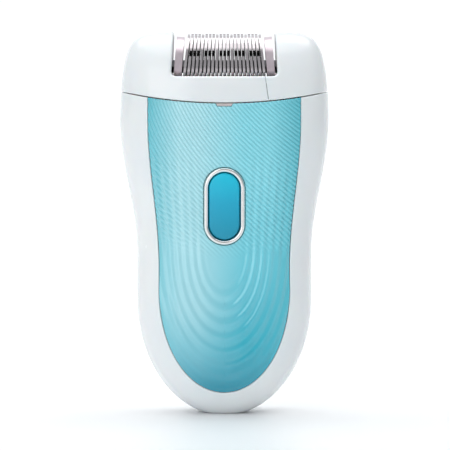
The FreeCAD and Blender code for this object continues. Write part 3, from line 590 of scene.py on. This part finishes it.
farAway = 9  # a distance, in millimetres, that cuts nothing
shellForm = {
    "wall": 2.2, "gridStep": 0.9, "gridTop": 112.0, "partingRoll": 0.2, "openingRoll": 0.3,
    "inletHalfWidth": 4.8, "inletHalfDepth": 2.6, "inletCorner": 0.2,
    "releaseAt": 88.0, "releaseHalfWidth": 7.4, "releaseHalfHeight": 3.7, "releaseCorner": 2.1,
    "releaseRoll": 0.35, "screwHole": 1.95, "screwRoll": 0.25, "screwSleeve": 2.85,
    "sleeveStart": 7.5, "sleeveStop": 1.9,
}


def frontHalf(p):
    return bodyForm["partingAt"] - p[:, 1] - bodyForm["partingGap"]


def backHalf(p):
    return p[:, 1] - bodyForm["partingAt"] - bodyForm["partingGap"]


def outsideInlet(p):
    form = shellForm
    hole = boxDistance(p[:, 0], p[:, 1], form["inletHalfWidth"], form["inletHalfDepth"], form["inletCorner"])
    return np.where(p[:, 2] < 3, hole, farAway)


def outsideRelease(p):
    form = shellForm
    hole = boxDistance(p[:, 0], p[:, 2] - form["releaseAt"], form["releaseHalfWidth"],
                       form["releaseHalfHeight"], form["releaseCorner"])
    return np.where(p[:, 1] > 0, hole, farAway)


def outsideScrew(x, z):
    return lambda p: np.where(p[:, 1] > 0, np.hypot(p[:, 0] - x, p[:, 2] - z) - shellForm["screwHole"],
                             farAway)


screwPlaces = [(side * x, z) for x, z in ((13.0, 24.0), (21.0, 59.0)) for side in (-1, 1)]


def tubeOn(x, z, inner, outer, start, end):
    # an open tube along Y, closed into a solid wall
    turns = np.linspace(0, 2 * np.pi, 41)[:-1]
    points, faces = [], []
    for radius, y in ((inner, start), (inner, end), (outer, end), (outer, start)):
        points += [(x + radius * np.cos(t), y, z + radius * np.sin(t)) for t in turns]
    for ring in range(4):
        for k in range(40):
            a, b = ring * 40, (ring + 1) % 4 * 40
            faces.append([a + k, a + (k + 1) % 40, b + (k + 1) % 40, b + k])
    return points, faces


def makeShells():
    form = shellForm
    handleGrid = bodyGrid(form["gridStep"], 0.0, form["gridTop"])
    front = skin("front_shell_moulding", handleGrid, [
        (belowSeam, bodyForm["seamRoll"]), (frontHalf, form["partingRoll"]),
        (lambda p: -insidePanel(p) - bodyForm["lineGap"], form["openingRoll"]),
        (outsideInlet, form["openingRoll"])], form["wall"])
    dress(front, materials["white"], "handle", "shell_white", "front_shell")
    sinks = [(outsideScrew(x, z), form["screwRoll"]) for x, z in screwPlaces]
    rear = skin("rear_shell_moulding", handleGrid, [
        (belowSeam, bodyForm["seamRoll"]), (backHalf, form["partingRoll"]),
        (outsideInlet, form["openingRoll"]), (outsideRelease, form["releaseRoll"])] + sinks, form["wall"])
    dress(rear, materials["white"], "handle", "shell_white", "rear_shell")
    for number, (x, z) in enumerate(screwPlaces):
        outside = reach(np.array(z), "Back") * (1 - (abs(x) / halfWidth(np.array(z))) ** 2.2) ** (1 / 2.2)
        points, faces = tubeOn(x, z, form["screwHole"], form["screwSleeve"], form["sleeveStart"],
                               float(outside) - form["sleeveStop"])
        sleeve = meshPiece(f"screw_sink_{number + 1}", points, faces)
        dress(sleeve, materials["white"], "handle", "shell_white")


headForm = {"bottom": 106.3, "halfWidth": 16.7, "topHalfWidth": 15.8, "corner": 1.4,
            "coverLow": 13.8, "coverSlope": -0.141, "coverRoll": 0.15, "lip": 0.9,
            "wall": 2.2, "gridStep": 0.8, "gridLow": 76.0}


def outsideOpening(p):
    # the U-shaped opening for the disc row, cut from front to back
    rise = np.clip((p[:, 2] - headForm["bottom"]) / (121 - headForm["bottom"]), 0, 1.2)
    half = headForm["halfWidth"] + (headForm["topHalfWidth"] - headForm["halfWidth"]) * rise
    corner = headForm["corner"]
    u = np.abs(p[:, 0]) - half + corner
    v = headForm["bottom"] + corner - p[:, 2]
    return np.minimum(np.maximum(u, v), 0) + np.hypot(np.maximum(u, 0), np.maximum(v, 0)) - corner


def coverSide(p):
    line = headForm["coverLow"] + headForm["coverSlope"] * (p[:, 2] - bodyForm["seamAt"])
    return p[:, 0] - line - bodyForm["lineGap"]


def makeHead():
    form = headForm
    headGrid = bodyGrid(form["gridStep"], form["gridLow"], bodyForm["height"])
    shared = [(aboveSeam, bodyForm["seamRoll"]), (outsideOpening, form["lip"])]
    frameSide = (lambda p: -coverSide(p) - bodyForm["lineGap"], form["coverRoll"])
    frame = skin("head_frame_moulding", headGrid, shared + [frameSide], form["wall"])
    dress(frame, materials["white"], "head", "shell_white", "head_frame")
    cover = skin("gear_cover_moulding", headGrid, shared + [(coverSide, form["coverRoll"])], form["wall"])
    dress(cover, materials["white"], "head", "shell_white", "gear_cover")


def ovalPath(width, length, height, step):
    # points once round an upright oval, with the inward direction at each
    radius, straight = width / 2, (length - width) / 2
    bend = max(8, int(math.pi * radius / step))
    side = max(4, int(2 * straight / step))
    path = []
    for way in (1, -1):
        for k in range(bend):
            turn = math.pi * k / bend
            c, s = math.cos(turn) * way, math.sin(turn) * way
            path.append((radius * c, height + straight * way + radius * s, -c, -s))
        for k in range(side):
            z = height + straight * way * (1 - 2 * k / side)
            path.append((-radius * way, z, way, 0))
    return path


def sweptRing(name, path, profile, closed=True):
    # profile: (inward, outward from the form or None, fixed y) for each point across the band
    points, faces = [], []
    count = len(profile)
    for x, z, inX, inZ in path:
        for inward, proud, fixed in profile:
            px, pz = x + inX * inward, z + inZ * inward
            surface = float(frontDepth(np.array(px), np.array(pz)))
            points.append((px, fixed if proud is None else surface - proud, pz))
    total = len(path)
    for k in range(total):
        for j in range(count if closed else count - 1):
            a, b = k * count, (k + 1) % total * count
            faces.append([a + j, a + (j + 1) % count, b + (j + 1) % count, b + j])
    return meshPiece(name, points, faces)


def makeSwitch():
    form = switchForm
    back = -form["back"]
    rim = form["rim"] - bodyForm["lineGap"]
    profile = [(0.0, None, back), (0.0, -0.35, 0)]
    for k in range(13):
        share = k / 12
        crown = (1 - abs(2 * share - 1) ** 2.4) ** (1 / 2.0)
        profile.append((rim * share, -0.2 + (form["ringProud"] + 0.2) * crown, 0))
    profile += [(rim, -0.5, 0), (rim, None, back)]
    less = 2 * bodyForm["lineGap"]
    path = ovalPath(form["ringWidth"] - less, form["ringLength"] - less, form["height"], form["step"])
    ring = sweptRing("switch_ring_plated", path, profile)
    dress(ring, materials["chrome"], "handle", "ring_chrome", "switch_ring")

    inset = form["rim"] + form["gap"]
    width, length = form["ringWidth"] - 2 * inset, form["ringLength"] - 2 * inset
    path = ovalPath(width, length, form["height"], form["step"])
    half = width / 2
    edge, shoulder = form["buttonEdge"], form["buttonShoulder"]
    profile = [(half, None, -form["buttonBack"]), (0.0, None, -form["buttonBack"]), (0.0, -shoulder, 0)]
    for k in range(1, 8):
        turn = math.pi / 2 * k / 7
        profile.append((edge * (1 - math.cos(turn)), shoulder * (2 * math.sin(turn) - 1), 0))
    for k in range(1, 10):
        share = k / 9
        inward = edge + (half - edge) * share
        rise = math.sin(math.pi / 2 * share)
        profile.append((inward, shoulder + (form["buttonProud"] - shoulder) * rise, 0))
    button = sweptRing("power_button_cap", path, profile, closed=False)
    dress(button, materials["blue"], "power_button", "button_blue", "power_button")


makePanel()
print("panel made")
makeShells()
print("shells made")
makeHead()
print("head made")
makeSwitch()
print("switch made")

# CAD nodes that keep their own shape: the material of each, and a softened edge in millimetres
nodeLooks = {
    "light_lens": ("window", 0.05), "light_led": ("lamp", 0),
    "circuit_board": ("board", 0.1), "board_components": ("dark", 0.1),
    "switch_body": ("dark", 0.1), "switch_plunger": ("acetal", 0.1), "button_seal": ("rubber", 0.1),
    "motor_can": ("steel", 0.2), "motor_end_cap": ("dark", 0.15), "motor_cradle": ("dark", 0.3),
    "motor_shaft": ("steel", 0.1), "armature": ("steel", 0.2), "motor_pinion": ("brass", 0.05),
    "gear_plate": ("dark", 0.3), "gear_pin": ("steel", 0.1), "reduction_gear": ("acetal", 0.08),
    "top_deck": ("dark", 0.3), "inlet_socket": ("dark", 0.2), "inlet_pins": ("brass", 0.15),
    "supply_leads": ("rubber", 0), "housing_screws": ("steel", 0.1), "release_spring": ("steel", 0.05),
    "release_button": ("grey", 0.35), "head_chassis": ("dark", 0.25), "bearing_bushes": ("brass", 0.1),
    "idler_pin": ("steel", 0.1), "head_idler_gear": ("acetal", 0.08), "drum_gear": ("acetal", 0.08),
    "drum_axle": ("steel", 0.1), "end_cheek_left": ("cheek", 0.3), "end_cheek_right": ("cheek", 0.3),
}
for name, node in frame["nodes"].items():
    if node.hide_render:
        continue
    look, soft = nodeLooks.get(name, ("disc", 0.08))
    node.data.materials.clear()
    node.data.materials.append(materials[look])
    if soft:
        bevel = node.modifiers.new("soft edges", "BEVEL")
        bevel.width = soft * mm
        bevel.segments = 3
        bevel.limit_method = "ANGLE"
        bevel.angle_limit = math.radians(40)
print("inner parts dressed")

# floor, lights and camera
floorMesh = bpy.data.meshes.new("studio_floor")
floorRows = [(-3.0, 0.0), (-0.3, 0.0), (0.3, 0.0), (0.7, 0.0)]
for k in range(1, 13):
    turn = math.pi / 2 * k / 12
    floorRows.append((0.7 + 0.7 * math.sin(turn), 0.7 * (1 - math.cos(turn))))
floorRows.append((1.4, 3.0))
floorMesh.from_pydata([(x, y, z) for y, z in floorRows for x in (-4.0, 4.0)], [],
                      [(2 * k, 2 * k + 1, 2 * k + 3, 2 * k + 2) for k in range(len(floorRows) - 1)])
for face in floorMesh.polygons:
    face.use_smooth = True
floor = bpy.data.objects.new("studio_floor", floorMesh)
bpy.context.collection.objects.link(floor)
floorLook, tree, shader = newMaterial("white lacquered board", {"IOR": 1.5})
coords = addNode(tree, "ShaderNodeTexCoord")
noise = unevenGloss(tree, shader, coords, 4.0, 0.36, 0.42)
tint = ramp(tree, noise, "Fac", [(0.3, "#F4F5F6"), (0.7, "#F8F9FA")])
tree.links.new(tint.outputs["Color"], shader.inputs["Base Color"])
floorMesh.materials.append(floorLook)


def softBox(name, place, target, width, height, power):
    light = bpy.data.lights.new(name, "AREA")
    light.shape = "RECTANGLE"
    light.size, light.size_y = width, height
    light.energy = power
    lamp = bpy.data.objects.new(name, light)
    lamp.location = place
    lamp.rotation_mode = "QUATERNION"
    lamp.rotation_quaternion = (Vector(target) - Vector(place)).to_track_quat("-Z", "Y")
    bpy.context.collection.objects.link(lamp)


softBox("left soft box", (-0.56, -0.88, 0.22), (-0.12, 0, 0.08), 0.72, 1.3, 4.6)
softBox("top soft box", (0.0, 0.1, 1.2), (0, 0, 0.05), 1.6, 1.2, 8.2)
softBox("backdrop soft box", (0.0, 0.35, 1.3), (0, 1.3, 0.1), 2.4, 0.8, 11)

# the room: an even pale grey on the camera's side, dim beyond the backdrop
world = bpy.data.worlds.new("studio")
world.use_nodes = True
tree = world.node_tree
place = addNode(tree, "ShaderNodeTexCoord")
parts = addNode(tree, "ShaderNodeSeparateXYZ", links={"Vector": (place, "Generated")})
depthShare = addNode(tree, "ShaderNodeMapRange", inputs={"From Min": -1.0, "From Max": 1.0},
                     links={"Value": (parts, "Y")})
brightness = ramp(tree, depthShare, "Result", [(0.0, "#B3B6B8"), (0.45, "#B3B6B8"), (0.55, "#5A5C5E")])
tree.links.new(brightness.outputs["Color"], tree.nodes["Background"].inputs["Color"])
bpy.context.scene.world = world

cameraSettings = {"distance": 1.0, "elevation": 3.0, "target": (0.0002, 0.0, 0.0591), "lens": 253.7}
cameraData = bpy.data.cameras.new("camera")
cameraData.sensor_width = 36.0
cameraData.lens = cameraSettings["lens"]
camera = bpy.data.objects.new("camera", cameraData)
lift = math.radians(cameraSettings["elevation"])
back = Vector((0, -math.cos(lift), math.sin(lift)))
camera.location = Vector(cameraSettings["target"]) + back * cameraSettings["distance"]
camera.rotation_mode = "QUATERNION"
camera.rotation_quaternion = (-back).to_track_quat("-Z", "Y")
bpy.context.collection.objects.link(camera)
bpy.context.scene.camera = camera
bpy.context.scene.view_settings.view_transform = "Standard"
